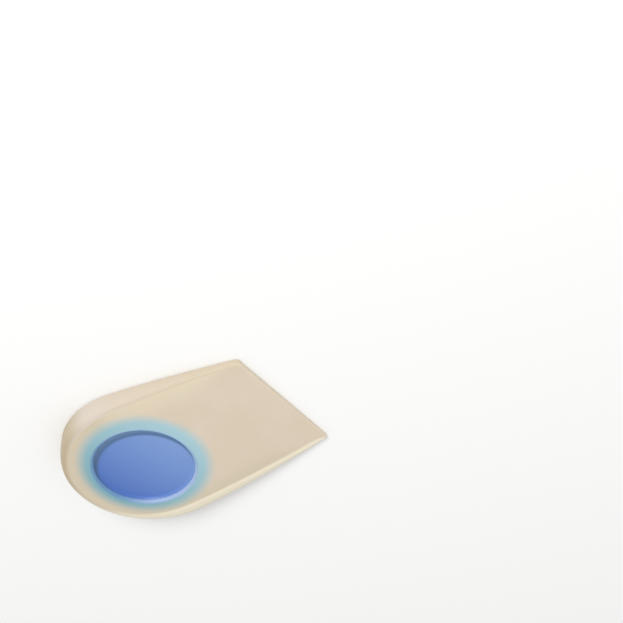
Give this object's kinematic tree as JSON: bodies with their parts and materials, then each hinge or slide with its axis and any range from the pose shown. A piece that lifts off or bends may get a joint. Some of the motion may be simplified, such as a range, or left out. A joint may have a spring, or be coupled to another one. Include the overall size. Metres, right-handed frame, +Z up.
{
  "type": "heel cup",
  "caption": "Shallow moulded silicone heel cup with a flat sole, a wall round the heel and a round soft gel spot seen in the sole, lying on its rim.",
  "frame": {"origin": "on the surface the cup lies on, below the middle of its bounding box", "axes": "+X towards the thin front edge (the toes), +Z up with the sole's outer face turned up, +Y towards the inner side of a left foot"},
  "size_m": [0.1048, 0.0684, 0.0127],
  "materials": {
    "silicone": "satin, slightly translucent cream silicone, with a blurred teal ring where the gel shows through the thin lip",
    "gel": "satin, translucent blue gel"
  },
  "bodies": {
    "root": {"heel_cup": "silicone", "soft_spot": "gel"}
  },
  "joints": []
}
